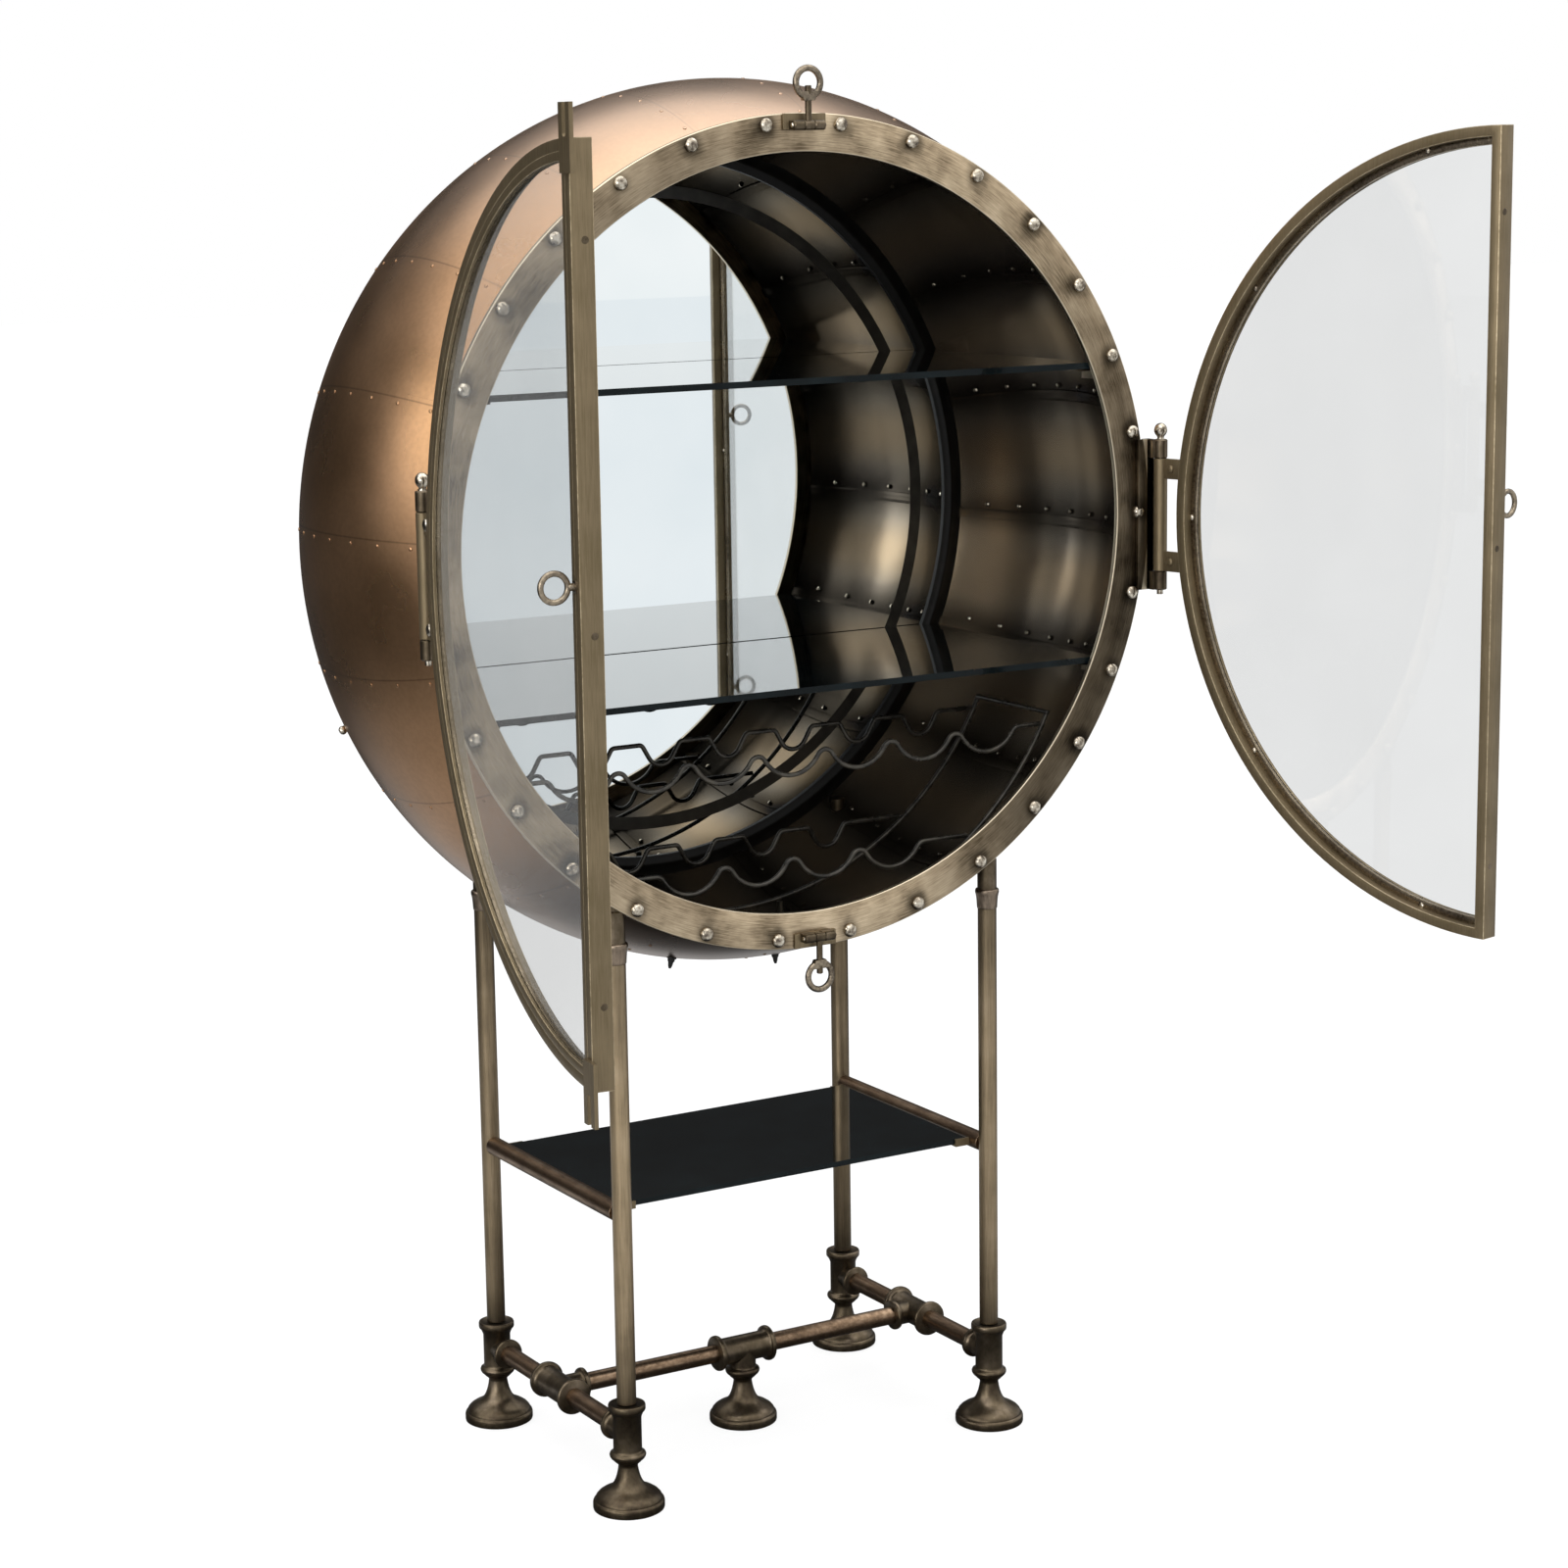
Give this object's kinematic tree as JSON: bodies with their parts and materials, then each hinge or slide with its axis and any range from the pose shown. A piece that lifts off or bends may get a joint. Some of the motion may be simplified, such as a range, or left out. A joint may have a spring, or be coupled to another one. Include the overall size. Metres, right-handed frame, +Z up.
{
  "type": "porthole wine cabinet",
  "caption": "Barrel-shaped metal wine cabinet with a bolted round front ring, a pair of hinged half-round glass doors, glass shelves, a wire bottle rack and a pipe stand.",
  "frame": {"origin": "on the floor under the middle of the centre foot", "axes": "+Z up, the round front faces -Y, +X to the viewer's right"},
  "size_m": [1.3206, 0.9772, 1.766],
  "materials": {
    "copper_paint": "metallic copper paint, satin gloss",
    "antique_brass": "brushed antique brass with dark patina",
    "dark_bronze": "bronzed casting, satin",
    "pewter": "polished pewter",
    "black_wire": "black satin",
    "black_steel": "black satin",
    "clear_glass": "clear",
    "smoked_glass": "smoked, polished",
    "mirror_glass": "silvered"
  },
  "bodies": {
    "cabinet": {"back_panel": "black_steel", "back_ring": "black_steel", "base_shelf": "smoked_glass", "base_shelf_tabs": "antique_brass", "dog_lugs": "pewter", "dog_pins": "pewter", "feet": "dark_bronze", "front_ring": "antique_brass", "hinge_pins": "pewter", "hinge_plates": "antique_brass", "leg_sockets": "dark_bronze", "legs": "antique_brass", "middle_shelf": "smoked_glass", "middle_shelf_brackets": "antique_brass", "mirror": "mirror_glass", "pipe_tees": "dark_bronze", "rack_back_hoop": "black_wire", "rack_back_lower_wire": "black_wire", "rack_back_upper_wire": "black_wire", "rack_front_hoop": "black_wire", "rack_front_lower_wire": "black_wire", "rack_front_upper_wire": "black_wire", "rack_standoffs": "black_wire", "rack_tie_rods": "black_wire", "ring_bolts": "pewter", "shelf_rails": "antique_brass", "shell_panels_bottom": "copper_paint", "shell_panels_left": "copper_paint", "shell_panels_right": "copper_paint", "shell_panels_top": "copper_paint", "stretchers": "antique_brass", "upper_shelf": "smoked_glass", "upper_shelf_brackets": "antique_brass"},
    "left_door": {"left_door_bead": "antique_brass", "left_door_frame": "antique_brass", "left_door_glass": "clear_glass", "left_door_handle": "antique_brass", "left_door_hinge_strap": "antique_brass", "left_door_keepers": "antique_brass"},
    "right_door": {"right_door_bead": "antique_brass", "right_door_frame": "antique_brass", "right_door_glass": "clear_glass", "right_door_handle": "antique_brass", "right_door_hinge_strap": "antique_brass"},
    "top_dog": {"top_dog_bolt": "pewter"},
    "bottom_dog": {"bottom_dog_bolt": "pewter"},
    "top_nut": {"top_eye_nut": "pewter"},
    "bottom_nut": {"bottom_eye_nut": "pewter"}
  },
  "joints": [
    {"name": "left_door_hinge", "type": "hinge", "parent": "cabinet", "child": "left_door", "pos_m": [-0.523, -0.216, 1.194], "axis": [0, 0, 1], "range_deg": [-68.5, 96.5]},
    {"name": "right_door_hinge", "type": "hinge", "parent": "cabinet", "child": "right_door", "pos_m": [0.523, -0.216, 1.194], "axis": [0, 0, -1], "range_deg": [-62, 103]},
    {"name": "top_dog_pivot", "type": "hinge", "parent": "cabinet", "child": "top_dog", "pos_m": [0, -0.212, 1.695], "axis": [1, 0, 0], "range_deg": [0, 90]},
    {"name": "bottom_dog_pivot", "type": "hinge", "parent": "cabinet", "child": "bottom_dog", "pos_m": [0, -0.212, 0.701], "axis": [-1, 0, 0], "range_deg": [0, 90]},
    {"name": "top_nut_turn", "type": "hinge", "parent": "top_dog", "child": "top_nut", "pos_m": [0, -0.212, 1.725], "axis": [0, 0, 1], "continuous": true},
    {"name": "bottom_nut_turn", "type": "hinge", "parent": "bottom_dog", "child": "bottom_nut", "pos_m": [0, -0.212, 0.671], "axis": [0, 0, -1], "continuous": true}
  ]
}
